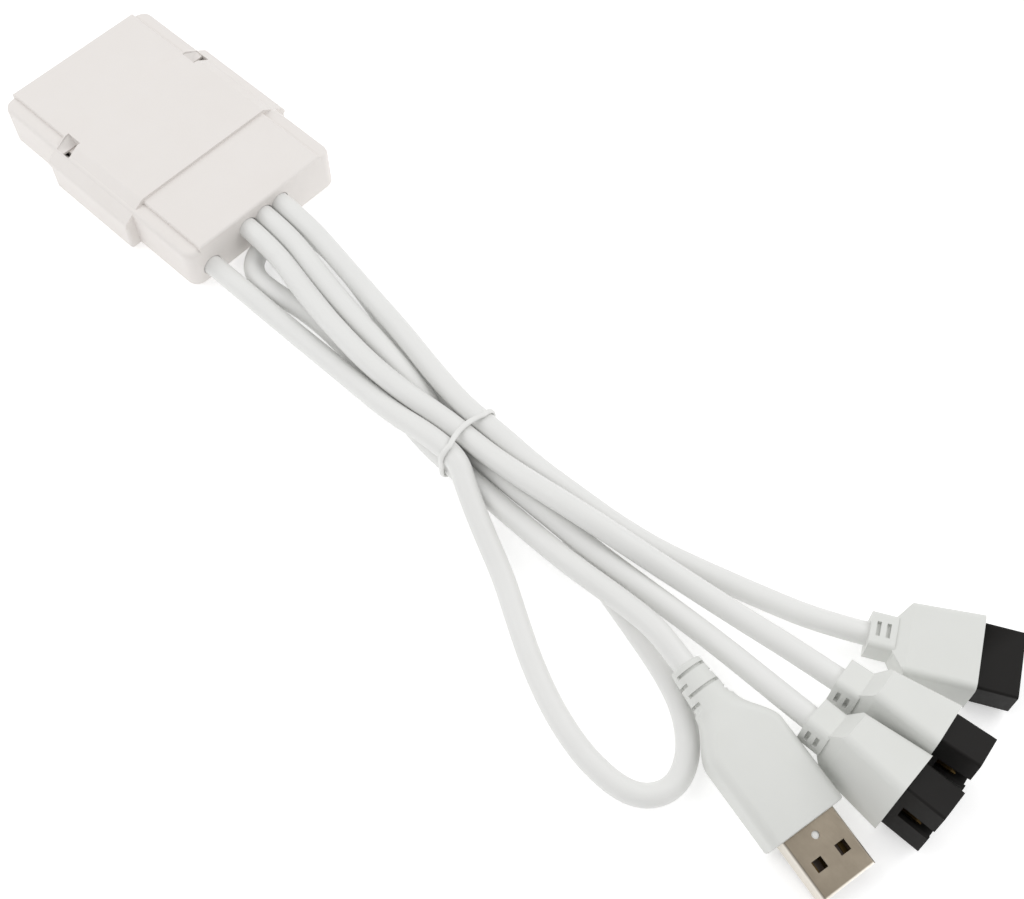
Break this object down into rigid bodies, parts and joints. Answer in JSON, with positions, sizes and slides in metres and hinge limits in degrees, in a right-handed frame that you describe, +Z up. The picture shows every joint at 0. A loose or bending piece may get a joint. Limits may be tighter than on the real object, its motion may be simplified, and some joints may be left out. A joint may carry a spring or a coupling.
{
  "type": "internal usb hub",
  "caption": "Internal USB hub: a flat white case with pin-header cables and a longer USB-A cable, folded and tied in one bundle.",
  "frame": {"origin": "middle of the case's underside", "axes": "+X along the case towards the cables, +Z up out of the case's top"},
  "size_m": [0.2571, 0.0768, 0.0176],
  "materials": {
    "case_plastic": "fine satin moulding",
    "cable_jacket": "smooth soft jacket",
    "plug_plastic": "soft moulded plug body",
    "sleeve_plastic": "plain black moulding",
    "tie_plastic": "smooth flat band",
    "shell_metal": "plated sheet metal",
    "tongue_plastic": "plain moulding",
    "contact_metal": "plated contacts",
    "board_laminate": "lacquered laminate",
    "chip_resin": "moulded resin",
    "can_metal": "drawn metal can",
    "core_insulation": "thin core insulation"
  },
  "bodies": {
    "root": {"board_capacitors": "can_metal", "board_resistors": "chip_resin", "bundle_tie": "tie_plastic", "circuit_board": "board_laminate", "crystal_can": "can_metal", "header_boot_lower": "plug_plastic", "header_boot_middle": "plug_plastic", "header_boot_top": "plug_plastic", "header_cable_lower": "cable_jacket", "header_cable_middle": "cable_jacket", "header_cable_top": "cable_jacket", "header_pins_lower": "contact_metal", "header_pins_middle": "contact_metal", "header_pins_top": "contact_metal", "header_shroud_lower": "sleeve_plastic", "header_shroud_middle": "sleeve_plastic", "header_shroud_top": "sleeve_plastic", "header_wires_lower": "core_insulation", "header_wires_middle": "core_insulation", "header_wires_top": "core_insulation", "hub_chip": "chip_resin", "lower_case": "case_plastic", "upper_case": "case_plastic", "usb_cable": "cable_jacket", "usb_contacts": "contact_metal", "usb_grip": "plug_plastic", "usb_insulator": "tongue_plastic", "usb_shell": "shell_metal", "usb_wires": "core_insulation"}
  },
  "joints": []
}
